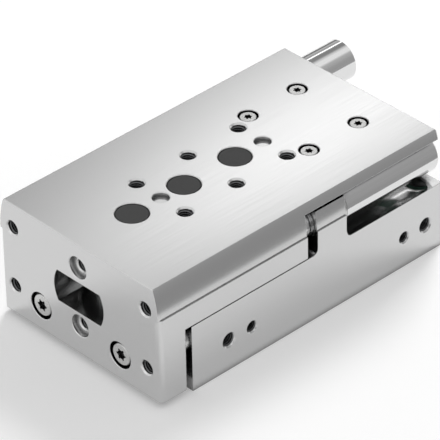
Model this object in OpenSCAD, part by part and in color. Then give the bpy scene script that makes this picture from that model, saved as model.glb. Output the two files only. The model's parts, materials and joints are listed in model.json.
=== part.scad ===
// Pneumatic slide table: a housing with two piston drives side by side, a recirculating ball guide
// on its centre line, a slide and yoke plate made in one piece, and two hydraulic shock absorbers.
// The yoke plate faces -Y and the slide advances along -Y. The origin is the centre of the
// mounting face under the housing, and the slide is drawn retracted.

/* [Overall] */
// Travel of the slide from the retracted to the advanced end
stroke = 50; // [49:1:80]
// Width across the housing and the slide
overall_w = 66; // [64:1:90]
// Height from the mounting face to the top of the slide
overall_h = 40; // [39.5:0.5:52]

/* [Slide and yoke] */
// Thickness of the yoke plate
yoke_t = 9.8; // [8:0.1:14]
// Free height under the yoke plate
yoke_lift = 1.7; // [0.8:0.1:3]
// Gap between the yoke plate and the housing when retracted
yoke_gap = 2.4; // [1.6:0.1:4]
// Thickness of the slide over the guide carriage
table_t = 7.5; // [6.5:0.1:9]
// Thickness of the slide over the shock absorbers
plate_t = 3.2; // [2.5:0.1:4]
// Free height of the slide's middle over the rail
beam_lift = 1.5; // [1:0.1:3]
// Height of the curved flank below the top face
flank_h = 10.2; // [8:0.1:12]
// How far the curved flank falls inwards at the top face
flank_in = 1.8; // [1:0.1:2.5]
// Step between the curved flank and the upright side
flank_step = 0.4; // [0.2:0.1:0.8]
// Radius of the yoke plate's upright edges
yoke_edge_r = 1.8; // [0.8:0.1:3]
// Diameter of the round window in the yoke plate
window_d = 20.6; // [16:0.1:24]
// Height of the flats that cut the window
window_h = 10.6; // [8:0.1:12]

/* [Housing] */
// Height of the housing's side shoulders
shoulder_z = 22.2; // [21.5:0.1:24]
// Depth of the carriage channel below the shoulders
channel_d = 2.3; // [1:0.1:2.6]
// Length of the stop lug that ends the advance
stop_lug_l = 13.5; // [10:0.5:18]
// Distance of the troughs' rear walls from the rear face
trough_wall = 3.4; // [2:0.1:6]
// Radius at the front end of a trough
trough_front_r = 1.8; // [0.5:0.1:2]
// Radius at the rear end of a trough
trough_rear_r = 3.5; // [1:0.1:4]
// Height of the lugs' tops under the slide's side plate
lug_drop = 0.8; // [0.5:0.1:1.5]
// Diameter of a sensor slot
slot_d = 3.8; // [3:0.1:4]
// Width of a sensor slot's mouth
slot_mouth = 2.4; // [1.6:0.1:2.8]

/* [Guide] */
// Width of the rail
rail_w = 17; // [15:0.5:18]
// Height of the rail
rail_h = 10; // [9:0.5:11]
// Height from the rail's foot to the carriage's top
guide_h = 16; // [15.5:0.5:17]
// Overall length of the carriage with its caps and seals
carriage_l = 42; // [40:1:50]
// Width of the carriage
carriage_w = 32; // [31:0.5:33]
// Length of one plastic end cap of the carriage
end_cap_l = 5; // [4.5:0.1:6]
// Thickness of an end seal
end_seal_t = 1; // [0.8:0.1:1.5]
// Diameter of a guide ball
ball_d = 3; // [2.5:0.1:3.2]
// Least distance between the balls' centres along a circuit
ball_pitch = 3.5; // [3.45:0.05:4]
// Distance of a ball circuit's return bore from its loaded track
ball_turn_d = 4.4; // [4:0.1:4.6]

/* [Drive] */
// Piston diameter
bore_d = 16; // [12:1:16]
// Piston rod diameter
rod_d = 8; // [6:1:8]
// Height of the cylinder bores, the ports and the side threads
rod_z = 10.2; // [10:0.1:10.5]
// Length of a piston
piston_l = 22; // [20:0.5:23]
// Length of a rod bearing
bearing_l = 9.8; // [8:0.1:10]
// Thickness of the retaining rings
ring_t = 1; // [0.8:0.1:1.2]
// Thickness of a rear cap's disc
cap_t = 2.8; // [2:0.1:3.2]
// Distance of the ports from the housing's front face
port_front = 14.2; // [13.6:0.1:15]
// Distance of the ports from the housing's rear face
port_rear = 6.5; // [6.2:0.1:7]
// Diameter of a stop button's head
stop_button_d = 8.4; // [6:0.1:8.4]

/* [Shock absorbers] */
// Diameter of a shock absorber's tube
tube_d = 12.8; // [11:0.1:13.4]
// Step between the tube and its thread
thread_step = 0.4; // [0.3:0.05:1]
// Length from the stop sleeve to the end of the tube
absorber_l = 54.2; // [50:0.1:60]
// Length of the stop sleeve in front of its lug
sleeve_l = 3.7; // [3:0.1:6]
// Diameter of the stop sleeve
sleeve_d = 10.4; // [8:0.1:11]
// Length of the lug that holds a shock absorber
lug_l = 11.5; // [9:0.5:14]
// Travel of a plunger
plunger_travel = 10; // [6:1:12]
// Diameter of a plunger
plunger_d = 4; // [3:0.1:5]
// Thickness of a lock ring
lock_ring_t = 1.3; // [1:0.1:2]

/* [Holes] */
// Pitch of the threaded holes and access holes
grid = 20; // [18:1:22]
// Distance between the screws across the carriage
screw_span = 25; // [23:0.5:27]
// Thread diameter of the mounting holes in the slide, the yoke plate and the underside
mount_thread_d = 5; // [4:1:5]
// Thread diameter of the side holes
side_thread_d = 4; // [3:1:4]
// Diameter of the access holes in the slide
access_d = 10; // [9:0.5:11]
// Distance of an access hole in front of a row of threads
access_lead = 11; // [10:0.5:12]
// Diameter of the locating holes in the slide
locating_d = 5; // [4:0.5:6]
// Depth of the locating holes in the slide
locating_depth = 1.3; // [1:0.1:3]
// Diameter of the locating holes in the yoke plate and under the housing
sleeve_hole_d = 7; // [6:0.5:8]
// Depth of the locating holes in the yoke plate and under the housing
sleeve_hole_depth = 1.6; // [1:0.1:2.5]
// Diameter of the housing's through holes
through_d = 5.5; // [5:0.1:6]
// Diameter of the counterbores for the through holes' screws
through_head_d = 9.2; // [8.6:0.1:9.6]
// Distance from the last row of threads to the carriage's first screws
row_to_screw = 6.3; // [6:0.1:9]

/* [Fits] */
// Free gap between the moving slide and the housing
gap = 0.35; // [0.3:0.05:0.5]
// Gap left at each end stop
stop_gap = 0.3; // [0.3:0.05:0.5]
// Radial clearance of a close fit
fit = 0.02; // [0.01:0.01:0.05]
// Radial clearance of a running fit
run_fit = 0.04; // [0.02:0.01:0.08]

/* [Hidden] */
$fn = 72;

eps = 0.05;                     // overlap between a cutter and the face it opens
hw = overall_w / 2;
front_margin = 5.1;             // housing in front of the advanced carriage
rear_margin = 2.7;              // housing behind the retracted carriage
housing_l = stroke + carriage_l + front_margin + rear_margin;
housing_y0 = -housing_l / 2;
housing_y1 = housing_l / 2;
yoke_y1 = housing_y0 - yoke_gap;
front_y = yoke_y1 - yoke_t;
table_y1 = housing_y1 - 0.5;

// Heights
line_z = overall_h - flank_h;
carriage_z1 = overall_h - table_t;
rail_z0 = carriage_z1 - guide_h;
rail_z1 = rail_z0 + rail_h;
channel_z = shoulder_z - channel_d;
carriage_z0 = channel_z + 0.4;
beam_z = rail_z1 + beam_lift;
plate_z = overall_h - plate_t;
skirt_z = shoulder_z + gap;
lug_z = plate_z - lug_drop;
window_z = (rail_z0 + rail_z1) / 2;

// Flank arc: tangent to the upright at line_z, flank_in inwards at the top
flank_r = (flank_in * flank_in + flank_h * flank_h) / (2 * flank_in);

// Drive
rod_x = overall_w / 4;
seat_r = bore_d / 2 + 0.5;      // bearings and caps sit in bores 0.5 larger than the piston bore
groove_r = seat_r + 0.6;        // retaining ring grooves
bearing_y0 = housing_y0 + 0.7 + ring_t;
bearing_y1 = bearing_y0 + bearing_l;
cap_y1 = housing_y1 - 0.7 - ring_t;
cap_y0 = cap_y1 - cap_t;
piston_y1 = housing_y1 - 9.5;
piston_y0 = piston_y1 - piston_l;
port_y = [housing_y0 + port_front, housing_y1 - port_rear];
side_y = [port_y[0] + 8.9, port_y[1] - 8.9];
seal_l = 3.4;                   // lip seal in the front of a rod bearing
seal_r = rod_d / 2 + 2.6;
o_groove_y = 6;                 // from a rod bearing's front face
o_wire_r = 0.75;
nut_h = 3.5;
spigot_r = 2.5;

// Grooves of a piston, from its front face: seal, guide band, magnet, seal
piston_r = bore_d / 2 - 0.1;
seal_w = 2;
piston_seal_y = [1.2, piston_l - 1.2 - seal_w];
seal_groove = 1.6;
band_y = 4.4;
band_w = 4;
band_groove = 1;
magnet_y = 9.6;
magnet_w = 4.5;
magnet_groove = 2;

// Screws and their seats
m3_r = 1.5;
m4_r = 2;
m3_head_depth = 3.4;            // from the slide's top face to the seat of a carriage screw's head
m3_head_h = 3;
m4_head_depth = 3.8;            // from the yoke plate's front face to the seat of a rod screw's head
m4_head_h = 3.4;
mouth_edge = 0.08;              // a tapped hole's countersink is this much wider than its thread
stop_button_x = hw - 0.8 - stop_button_d / 2;
stop_button_z = rod_z + 6.2;
stop_stem_r = 2;

// Guide
carriage_x = carriage_w / 2;
carriage_y1 = housing_y1 - rear_margin;
carriage_y0 = carriage_y1 - carriage_l;
carriage_yc = (carriage_y0 + carriage_y1) / 2;
block_l = carriage_l - 2 * (end_cap_l + end_seal_t);
block_y0 = carriage_yc - block_l / 2;
rail_x = rail_w / 2;
rail_y0 = housing_y0 + 0.8;
rail_l = housing_l - 1.6;
track_gap = 0.4;                // between the rail and the carriage's legs
track_x = rail_x + track_gap / 2;
track_z = rail_z1 - 3;
ball_r = ball_d / 2;
groove_ball_r = ball_r + 0.03;
turn_r = ball_turn_d / 2;
circuit = 2 * block_l + 2 * PI * turn_r;
balls = floor(circuit / ball_pitch);
web_z = rail_z1 + 0.5;
cap_screw_x = 6;
cap_screw_head_h = 1.2;
cap_screw_z = (web_z + carriage_z1) / 2;

// Rows along the slide, counted back from the carriage's screws
screw_y = [for (i = [-1, 1]) carriage_yc + i * grid / 2];
row_y = [for (i = [2, 1, 0]) screw_y[0] - row_to_screw - i * grid];
access_y = [for (y = row_y) y - access_lead];
rail_screw_y = [for (i = [0:3]) access_y[0] + grid / 2 + i * grid];
thread_x = grid / 2;
yoke_hole_x = hw - 5.5;
yoke_hole_z = [window_z + 0.2 - grid / 2, window_z + 0.2 + grid / 2];
base_hole_x = hw - 5.5;
base_hole_y = [-grid, grid];

// Shock absorbers: x and z of the axes, and the y of each stop sleeve's front
tube_r = tube_d / 2;
thread_r = tube_r - thread_step;
absorber_x = hw - 1 - tube_r;
absorber_z = plate_z - 0.4 - tube_r;
lug_x = absorber_x - thread_r - 1.2;
trough_r = norm([hw - absorber_x, absorber_z - shoulder_z]);
retract_y = housing_y1 - absorber_l;
advance_y = housing_y0 + stop_lug_l + stop_gap + stroke;
skirt_y1 = retract_y - stop_gap;
bore_in_r = 3.6;                // inside of a shock absorber's tube
gland_r = 4.3;
gland_y = [0.8, 6];
rod_reach = 22;                 // from a plunger's tip to its piston
head_l = 5;
spring_y1 = rod_reach + head_l + 11.25;
wire_r = 0.35;
coil_r = 2.9;
coil_turns = 10;

function absorber_lug_y(front) = front + sleeve_l;

// ---- shared forms ----

module y_cyl(r, l) {
    rotate([-90, 0, 0]) cylinder(r = r, h = l);
}

module y_ring(r_out, r_in, l) {
    difference() {
        y_cyl(r_out, l);
        translate([0, -eps, 0]) y_cyl(r_in, l + 2 * eps);
    }
}

module both_sides() {
    for (side = [-1, 1]) translate([side * rod_x, 0, rod_z]) children();
}

// Places a hole drilled along +Z into the top face, the front face, the right side or the underside
module into_top(x, y) {
    translate([x, y, overall_h]) mirror([0, 0, 1]) children();
}

module into_front(x, z) {
    translate([x, front_y, z]) rotate([-90, 0, 0]) children();
}

module into_right(y, z) {
    translate([hw, y, z]) rotate([0, -90, 0]) children();
}

module into_base(x, y) {
    translate([x, y, 0]) children();
}

// Tapped hole: its core and its countersunk mouth
module tapped(d, depth) {
    core_r = d * 0.42;
    mouth_r = d / 2 + mouth_edge;
    translate([0, 0, -1]) cylinder(r = core_r, h = depth + 1);
    translate([0, 0, -eps]) cylinder(r1 = mouth_r + eps, r2 = core_r, h = mouth_r - core_r + eps);
}

// Plain hole with a broken edge
module drilled(d, depth, edge = 0.2) {
    r = d / 2;
    translate([0, 0, -1]) cylinder(r = r, h = depth + 1);
    translate([0, 0, -eps]) cylinder(r1 = r + edge + eps, r2 = r, h = edge + eps);
}

// Six-lobed drive recess
module six_lobe(r, depth) {
    cylinder(r = r * 0.74, h = depth);
    for (i = [0:5]) rotate(i * 60) translate([r * 0.8, 0, 0]) cylinder(r = r * 0.2, h = depth, $fn = 24);
}

// Screw with its head's top at the origin and its shank along +Z
module six_lobe_screw(head_r, head_h, shank_r, length, drive_r) {
    difference() {
        union() {
            cylinder(r1 = head_r - 0.25, r2 = head_r, h = 0.25);
            translate([0, 0, 0.25]) cylinder(r = head_r, h = head_h - 0.25);
            translate([0, 0, head_h]) cylinder(r = shank_r, h = length - head_h - 0.4);
            translate([0, 0, length - 0.4]) cylinder(r1 = shank_r, r2 = shank_r - 0.3, h = 0.4);
        }
        translate([0, 0, -eps]) six_lobe(drive_r, head_h * 0.6);
    }
}

// Screw with a hexagon socket, head's top at the origin and shank along +Z
module socket_screw(head_r, head_h, shank_r, length, key) {
    difference() {
        union() {
            cylinder(r1 = head_r - 0.2, r2 = head_r, h = 0.2);
            translate([0, 0, 0.2]) cylinder(r = head_r, h = head_h - 0.2);
            translate([0, 0, head_h]) cylinder(r = shank_r, h = length - head_h);
        }
        translate([0, 0, -eps]) cylinder(d = key / cos(30), h = head_h * 0.55, $fn = 6);
    }
}

// Upper part of the right flank, from the step up to the top face
module flank_half(y0, l) {
    intersection() {
        translate([0, y0, line_z]) cube([hw, l, flank_h]);
        translate([hw - flank_step - flank_r, y0 - 1, line_z]) y_cyl(flank_r, l + 2);
    }
}

// Outer form that the slide and the housing's lugs share
module envelope(y0, l) {
    translate([-hw, y0, 0]) cube([overall_w, l, line_z]);
    flank_half(y0, l);
    mirror([1, 0, 0]) flank_half(y0, l);
}

// Part of the envelope between two x values and two heights
module envelope_part(x0, x1, y0, y1, z0, z1) {
    intersection() {
        envelope(y0, y1 - y0);
        translate([x0, y0, z0]) cube([x1 - x0, y1 - y0, z1 - z0]);
    }
}

// Concave fillet along X between a floor at z = 0 and a wall at y = 0, on the -Y side
module floor_fillet(x0, x1, r) {
    difference() {
        translate([x0, -r, 0]) cube([x1 - x0, r, r]);
        translate([x0 - 1, -r, r]) rotate([0, 90, 0]) cylinder(r = r, h = x1 - x0 + 2);
    }
}

// ---- housing and what is fixed in it ----

module housing_blank() {
    lug_y0 = absorber_lug_y(retract_y);
    translate([-hw, housing_y0, 0]) cube([overall_w, housing_l, shoulder_z]);
    envelope_part(lug_x, hw, lug_y0, lug_y0 + lug_l + trough_front_r, 0, lug_z);
    envelope_part(-hw, -lug_x, housing_y0, housing_y0 + stop_lug_l, 0, lug_z);
    translate([0, lug_y0, shoulder_z]) floor_fillet(lug_x, hw, 1.8);
}

// Concave trough under a shock absorber's tube, closed by a wall at the rear, with rounded ends
module trough(side, y0) {
    l = housing_y1 - trough_wall - y0;
    translate([side * absorber_x, y0, absorber_z]) rotate([-90, 0, 0]) rotate_extrude() {
        translate([0, trough_front_r]) square([trough_r, l - trough_front_r - trough_rear_r]);
        square([trough_r - trough_front_r, l / 2]);
        translate([0, l / 2]) square([trough_r - trough_rear_r, l / 2]);
        translate([trough_r - trough_front_r, trough_front_r]) circle(r = trough_front_r);
        translate([trough_r - trough_rear_r, l - trough_rear_r]) circle(r = trough_rear_r);
    }
}

module cylinder_bore() {
    translate([0, housing_y0 - 1, 0]) y_cyl(bore_d / 2, housing_l + 2);
    translate([0, housing_y0 - 1, 0]) y_cyl(seat_r, bearing_y1 - housing_y0 + 1);
    translate([0, cap_y0, 0]) y_cyl(seat_r, housing_y1 - cap_y0 + 1);
    translate([0, bearing_y0 - ring_t, 0]) y_cyl(groove_r, ring_t);
    translate([0, cap_y1, 0]) y_cyl(groove_r, ring_t);
}

// Supply port: thread in the right side, drilled on across both cylinder bores
module port() {
    tapped(mount_thread_d, 6.5);
    cylinder(r = 1.3, h = hw + rod_x);
}

module sensor_slot(z) {
    translate([-hw + 3, housing_y0 - 1, z]) y_cyl(slot_d / 2, housing_l + 2);
    translate([-hw - 1, housing_y0 - 1, z - slot_mouth / 2]) cube([4, housing_l + 2, slot_mouth]);
}

module housing() {
    color("lightgray") difference() {
        union() {
            difference() {
                housing_blank();
                translate([-carriage_x - 0.6, housing_y0 - 1, channel_z])
                    cube([carriage_w + 1.2, housing_l + 2, overall_h]);
            }
            translate([-rail_x, housing_y0, 0]) cube([rail_w, housing_l, rail_z0]);
        }
        translate([-rail_x - fit, housing_y0 - 1, rail_z0]) cube([rail_w + 2 * fit, housing_l + 2, overall_h]);
        trough(1, absorber_lug_y(retract_y) + lug_l);
        trough(-1, housing_y0 + stop_lug_l);
        translate([absorber_x, absorber_lug_y(retract_y) - 1, absorber_z]) y_cyl(thread_r + fit, lug_l + 2);
        both_sides() cylinder_bore();
        for (y = port_y) into_right(y, rod_z) port();
        for (y = side_y) into_right(y, rod_z) tapped(side_thread_d, 6);
        for (z = [rod_z + 1.9, rod_z + 6.5]) sensor_slot(z);
        for (side = [-1, 1]) {
            translate([side * stop_button_x, housing_y0 - 1, stop_button_z]) y_cyl(stop_stem_r + fit, 7);
            for (y = base_hole_y) into_base(side * base_hole_x, y) tapped(mount_thread_d, 7);
        }
        for (y = access_y) into_base(0, y) drilled(through_d, rail_z0 + 1);
        for (y = [access_y[0], access_y[2]]) into_base(0, y) drilled(sleeve_hole_d, sleeve_hole_depth);
        for (y = rail_screw_y) translate([0, y, rail_z0 - 7]) cylinder(r = m3_r + fit, h = 8);
    }
}

module rail_grooves() {
    for (side = [-1, 1]) {
        translate([side * track_x, rail_y0 - 1, track_z]) y_cyl(groove_ball_r, rail_l + 2);
        translate([side * (rail_x + 0.4), rail_y0 - 1, track_z]) rotate([0, 45, 0])
            translate([-0.8, 0, -0.8]) cube([1.6, rail_l + 2, 1.6]);
    }
}

module guide_rail() {
    color("gainsboro") difference() {
        translate([-rail_x, rail_y0, rail_z0]) cube([rail_w, rail_l, rail_h]);
        rail_grooves();
        for (side = [-1, 1]) translate([side * rail_x, rail_y0 - 1, rail_z1]) rotate([0, 45, 0])
            translate([-0.4, 0, -0.4]) cube([0.8, rail_l + 2, 0.8]);
        for (y = access_y) translate([0, y, rail_z1]) mirror([0, 0, 1]) {
            drilled(through_d, rail_h + 1);
            drilled(through_head_d, 5.6);
        }
        for (y = rail_screw_y) translate([0, y, rail_z1]) mirror([0, 0, 1]) {
            drilled(2 * m3_r + 0.4, rail_h + 1);
            drilled(6, m3_head_h + 1);
        }
    }
}

module rail_screws() {
    color("dimgray") for (y = rail_screw_y)
        translate([0, y, rail_z1 - 1]) mirror([0, 0, 1]) socket_screw(2.75, m3_head_h, m3_r, rail_h + 4.5, 2.5);
}

// Steel buttons in the housing's front face that end the retraction
module stop_buttons() {
    color("lightgray") for (side = [-1, 1]) translate([side * stop_button_x, housing_y0, stop_button_z]) {
        y_cyl(stop_stem_r, 5.5);
        translate([0, stop_gap - yoke_gap, 0]) rotate([-90, 0, 0]) {
            cylinder(r1 = stop_button_d / 2 - 0.5, r2 = stop_button_d / 2, h = 0.5);
            translate([0, 0, 0.5]) cylinder(r = stop_button_d / 2, h = yoke_gap - stop_gap - 0.5);
        }
    }
}

module rod_bearings() {
    color("darkkhaki") both_sides() translate([0, bearing_y0, 0]) difference() {
        y_cyl(seat_r - fit, bearing_l);
        translate([0, -1, 0]) y_cyl(rod_d / 2 + run_fit, bearing_l + 2);
        translate([0, -1, 0]) y_cyl(seal_r, seal_l + 1);
        translate([0, o_groove_y, 0]) y_ring(seat_r + 1, seat_r - 2 * o_wire_r, 2 * o_wire_r + 0.4);
    }
}

module rod_seals() {
    color("dimgray") both_sides() translate([0, bearing_y0 + eps, 0]) difference() {
        y_cyl(seal_r - fit, seal_l - eps);
        translate([0, -1, 0]) y_cyl(rod_d / 2 + run_fit, seal_l + 2);
        translate([0, -eps, 0]) rotate([-90, 0, 0]) cylinder(r1 = rod_d / 2 + 1.2, r2 = rod_d / 2, h = 1.2);
    }
}

module o_ring(y) {
    both_sides() translate([0, y, 0]) rotate([-90, 0, 0]) rotate_extrude()
        translate([seat_r - o_wire_r - fit, 0]) circle(r = o_wire_r - fit, $fn = 32);
}

module bearing_o_rings() {
    color("black") o_ring(bearing_y0 + o_groove_y + o_wire_r + 0.2);
}

// Internal retaining ring with an open gap and two lugs with eyes
module retaining_ring(y) {
    translate([0, y, 0]) rotate([-90, 0, 0]) difference() {
        union() {
            difference() {
                cylinder(r = groove_r - fit, h = ring_t);
                translate([0, 0, -1]) cylinder(r = groove_r - 1.9, h = ring_t + 2);
            }
            for (side = [-1, 1]) translate([side * 1.9, groove_r - 2.3, 0]) cylinder(r = 1.3, h = ring_t);
        }
        translate([-0.6, groove_r - 4, -1]) cube([1.2, 5, ring_t + 2]);
        for (side = [-1, 1]) translate([side * 1.9, groove_r - 2.3, -1]) cylinder(r = 0.55, h = ring_t + 2);
    }
}

module bearing_rings() {
    color("silver") both_sides() retaining_ring(bearing_y0 - ring_t);
}

module cap_rings() {
    color("silver") both_sides() retaining_ring(cap_y1);
}

module rear_caps() {
    color("silver") both_sides() difference() {
        union() {
            translate([0, cap_y0, 0]) y_cyl(seat_r - fit, cap_t);
            translate([0, piston_y1 + 1, 0]) y_cyl(3.5, cap_y0 - piston_y1 - 1);
        }
        translate([0, cap_y0 + 0.65, 0]) y_ring(seat_r + 1, seat_r - 2 * o_wire_r, 2 * o_wire_r);
        translate([0, cap_y1 - 1.2, 0]) y_cyl(2.5, 2);
    }
}

module cap_o_rings() {
    color("black") o_ring(cap_y0 + 0.65 + o_wire_r);
}

// ---- shock absorbers, drawn with the stop sleeve's front at y = 0 and the axis on Y ----

module absorber_tube() {
    lug_y = sleeve_l;
    tube_y = sleeve_l + lug_l + lock_ring_t + 0.1;
    difference() {
        union() {
            rotate([-90, 0, 0]) cylinder(r1 = sleeve_d / 2 - 0.5, r2 = sleeve_d / 2, h = 0.5);
            translate([0, 0.5, 0]) y_cyl(sleeve_d / 2, lug_y - 0.5);
            translate([0, lug_y, 0]) y_cyl(thread_r, tube_y - lug_y);
            translate([0, tube_y, 0]) y_cyl(tube_r, absorber_l - tube_y - 0.6);
            translate([0, absorber_l - 0.6, 0]) rotate([-90, 0, 0]) cylinder(r1 = tube_r, r2 = tube_r - 0.6, h = 0.6);
        }
        translate([0, -1, 0]) y_cyl(gland_r, gland_y[1] + 1);
        translate([0, gland_y[1] - eps, 0]) y_cyl(bore_in_r, spring_y1 - gland_y[1] + eps);
        translate([0, absorber_l - 4, 0]) rotate([-90, 0, 0]) cylinder(d = 5 / cos(30), h = 5, $fn = 6);
        translate([0, sleeve_l - 1.1, 0]) y_ring(sleeve_d, sleeve_d / 2 - 0.4, 0.6);
    }
}

module absorber_gland() {
    translate([0, gland_y[0], 0]) difference() {
        y_cyl(gland_r - fit, gland_y[1] - gland_y[0]);
        translate([0, -1, 0]) y_cyl(plunger_d / 2 + run_fit, gland_y[1] - gland_y[0] + 2);
    }
}

// Return spring behind a plunger that stands out by the given length: a wire swept along a helix
module absorber_spring(out) {
    steps = 14;
    sides = 6;
    rings = coil_turns * steps;
    y0 = rod_reach + head_l - out + wire_r;
    rise = spring_y1 - wire_r - y0;
    points = [for (i = [0:rings]) let (a = 360 * i / steps, y = y0 + rise * i / rings)
        for (j = [0:sides - 1]) let (b = 360 * j / sides, r = coil_r + wire_r * cos(b))
            [r * cos(a), y + wire_r * sin(b), r * sin(a)]];
    walls = [for (i = [0:rings - 1]) for (j = [0:sides - 1]) let (k = (j + 1) % sides)
        [i * sides + j, (i + 1) * sides + j, (i + 1) * sides + k, i * sides + k]];
    start = [for (j = [0:sides - 1]) j];
    end = [for (j = [sides - 1:-1:0]) rings * sides + j];
    polyhedron(points, concat(walls, [start], [end]), convexity = 10);
}

// Thin ring with four wrench notches that locks the tube against its lug
module absorber_lock_ring() {
    translate([0, sleeve_l + lug_l, 0]) difference() {
        y_ring(tube_r, thread_r + fit, lock_ring_t);
        for (i = [0:3]) rotate([0, 45 + i * 90, 0]) translate([-0.7, -1, tube_r - 0.3]) cube([1.4, lock_ring_t + 2, 1]);
    }
}

// Plunger with its piston, pressed in so that its tip is level with the stop sleeve
module absorber_plunger() {
    rotate([-90, 0, 0]) cylinder(r1 = plunger_d / 2 - 0.4, r2 = plunger_d / 2, h = 0.4);
    translate([0, 0.4, 0]) y_cyl(plunger_d / 2, rod_reach - 0.4);
    translate([0, rod_reach, 0]) y_cyl(bore_in_r - run_fit, head_l);
}

module at_retract() {
    translate([absorber_x, retract_y, absorber_z]) children();
}

module at_advance() {
    translate([-absorber_x, advance_y, absorber_z]) children();
}

module retract_absorber_tube() { color("whitesmoke") at_retract() absorber_tube(); }
module retract_absorber_gland() { color("darkgray") at_retract() absorber_gland(); }
module retract_absorber_spring() { color("slategray") at_retract() absorber_spring(0); }
module retract_lock_ring() { color("gray") at_retract() absorber_lock_ring(); }
module retract_plunger() { color("silver") at_retract() absorber_plunger(); }
module advance_absorber_tube() { color("whitesmoke") at_advance() absorber_tube(); }
module advance_absorber_gland() { color("darkgray") at_advance() absorber_gland(); }
module advance_absorber_spring() { color("slategray") at_advance() absorber_spring(plunger_travel); }
module advance_lock_ring() { color("gray") at_advance() absorber_lock_ring(); }
module advance_plunger() {
    color("silver") translate([0, -plunger_travel, 0]) at_advance() absorber_plunger();
}

// ---- slide and what moves with it ----

module slide_blank() {
    holder_y = absorber_lug_y(advance_y);
    envelope_part(-hw, hw, front_y, yoke_y1, yoke_lift, overall_h);
    envelope_part(-hw, hw, front_y, table_y1, plate_z, overall_h);
    envelope_part(-carriage_x - 1.6, carriage_x + 1.6, front_y, table_y1, carriage_z1, overall_h);
    envelope_part(-carriage_x - 0.3, carriage_x + 0.3, front_y, carriage_y0 - cap_screw_head_h - 0.4, beam_z, overall_h);
    envelope_part(carriage_x - 1, hw, front_y, skirt_y1, beam_z, overall_h);
    envelope_part(carriage_x + 0.9, hw, front_y, skirt_y1, skirt_z, overall_h);
    envelope_part(-hw, -lug_x, holder_y, holder_y + lug_l, skirt_z, overall_h);
    for (side = [-1, 1]) translate([side * (carriage_x + 0.85), 0, 0])
        translate([-0.75, block_y0, carriage_z1 - 1.5]) cube([1.5, block_l, 2]);
}

// Removes the corner outside a rounded upright edge at x = hw
module upright_edge() {
    translate([hw - yoke_edge_r, front_y + yoke_edge_r, yoke_lift - 1]) difference() {
        translate([0, -yoke_edge_r - 1, 0]) cube([yoke_edge_r + 1, yoke_edge_r + 1, line_z - yoke_lift + 1]);
        translate([0, 0, -1]) cylinder(r = yoke_edge_r, h = overall_h);
    }
}

// Breaks an edge that runs along X
module broken_edge(y, z, size) {
    translate([-hw - 1, y, z]) rotate([45, 0, 0]) translate([0, -size / 2, -size / 2]) cube([overall_w + 2, size, size]);
}

module window() {
    intersection() {
        translate([0, front_y - 1, window_z]) y_cyl(window_d / 2, yoke_t + 2);
        translate([-hw, front_y - 1, window_z - window_h / 2]) cube([overall_w, yoke_t + 2, window_h]);
    }
}

module slide_table() {
    color("silver") difference() {
        slide_blank();
        upright_edge();
        mirror([1, 0, 0]) upright_edge();
        broken_edge(front_y, overall_h, 0.5);
        broken_edge(table_y1, overall_h, 0.5);
        broken_edge(front_y, yoke_lift, 0.5);
        window();
        translate([-absorber_x, absorber_lug_y(advance_y) - 1, absorber_z]) y_cyl(thread_r + fit, lug_l + 2);
        translate([-absorber_x, absorber_lug_y(advance_y) + lug_l, absorber_z]) y_cyl(tube_r + 0.3, housing_l);
        for (y = access_y) into_top(0, y) drilled(access_d, overall_h - beam_z + 1);
        for (y = [row_y[0], row_y[2]]) into_top(0, y) drilled(locating_d, locating_depth);
        for (x = [-thread_x, thread_x], y = row_y) into_top(x, y) tapped(mount_thread_d, table_t - 0.8);
        for (x = [-screw_span / 2, screw_span / 2], y = screw_y) into_top(x, y) {
            drilled(6.1, m3_head_depth, 0.15);
            drilled(2 * m3_r + 0.4, table_t + 1);
        }
        for (x = [-yoke_hole_x, yoke_hole_x], z = yoke_hole_z) into_front(x, z) tapped(mount_thread_d, 8);
        for (x = [-rod_x, rod_x]) into_front(x, rod_z) {
            drilled(8.6, m4_head_depth, 0.15);
            drilled(2 * m4_r + 0.4, yoke_t + 1);
        }
        for (z = yoke_hole_z) into_front(0, z) {
            drilled(sleeve_hole_d, sleeve_hole_depth);
            translate([0, 0, sleeve_hole_depth]) tapped(side_thread_d, 6);
        }
    }
}

module access_plugs() {
    color("dimgray") for (y = access_y) into_top(0, y) translate([0, 0, 0.2]) difference() {
        union() {
            cylinder(r1 = access_d / 2 - 0.35, r2 = access_d / 2 - fit, h = 0.35);
            translate([0, 0, 0.35]) cylinder(r = access_d / 2 - fit, h = 3.4);
        }
        translate([0, 0, 1.6]) cylinder(r = access_d / 2 - 1.2, h = 4);
    }
}

module table_screws() {
    color("silver") for (x = [-screw_span / 2, screw_span / 2], y = screw_y) into_top(x, y)
        translate([0, 0, m3_head_depth - m3_head_h])
            six_lobe_screw(2.6, m3_head_h, m3_r, m3_head_h - m3_head_depth + table_t + 4.2, 1.25);
}

module rod_screws() {
    color("silver") for (x = [-rod_x, rod_x]) into_front(x, rod_z)
        translate([0, 0, m4_head_depth - m4_head_h]) six_lobe_screw(3.5, m4_head_h, m4_r, yoke_t + 9, 1.9);
}

module carriage_section(l, x, z0, z1, clear) {
    translate([-x, 0, z0]) difference() {
        cube([2 * x, l, z1 - z0]);
        translate([x - rail_x - clear, -1, -1]) cube([rail_w + 2 * clear, l + 2, rail_z1 + clear - z0 + 1]);
    }
}

module carriage_block() {
    color("lightsteelblue") difference() {
        translate([0, block_y0, 0]) difference() {
            carriage_section(block_l, carriage_x, carriage_z0, carriage_z1, track_gap);
            for (side = [-1, 1], x = [track_x, track_x + ball_turn_d])
                translate([side * x, -1, track_z]) y_cyl(groove_ball_r, block_l + 2);
            for (x = [-cap_screw_x, cap_screw_x]) translate([x, -1, cap_screw_z]) y_cyl(1 + fit, block_l + 2);
        }
        for (x = [-screw_span / 2, screw_span / 2], y = screw_y)
            translate([x, y, carriage_z1 - 5]) cylinder(r = m3_r + fit, h = 6);
    }
}

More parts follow.
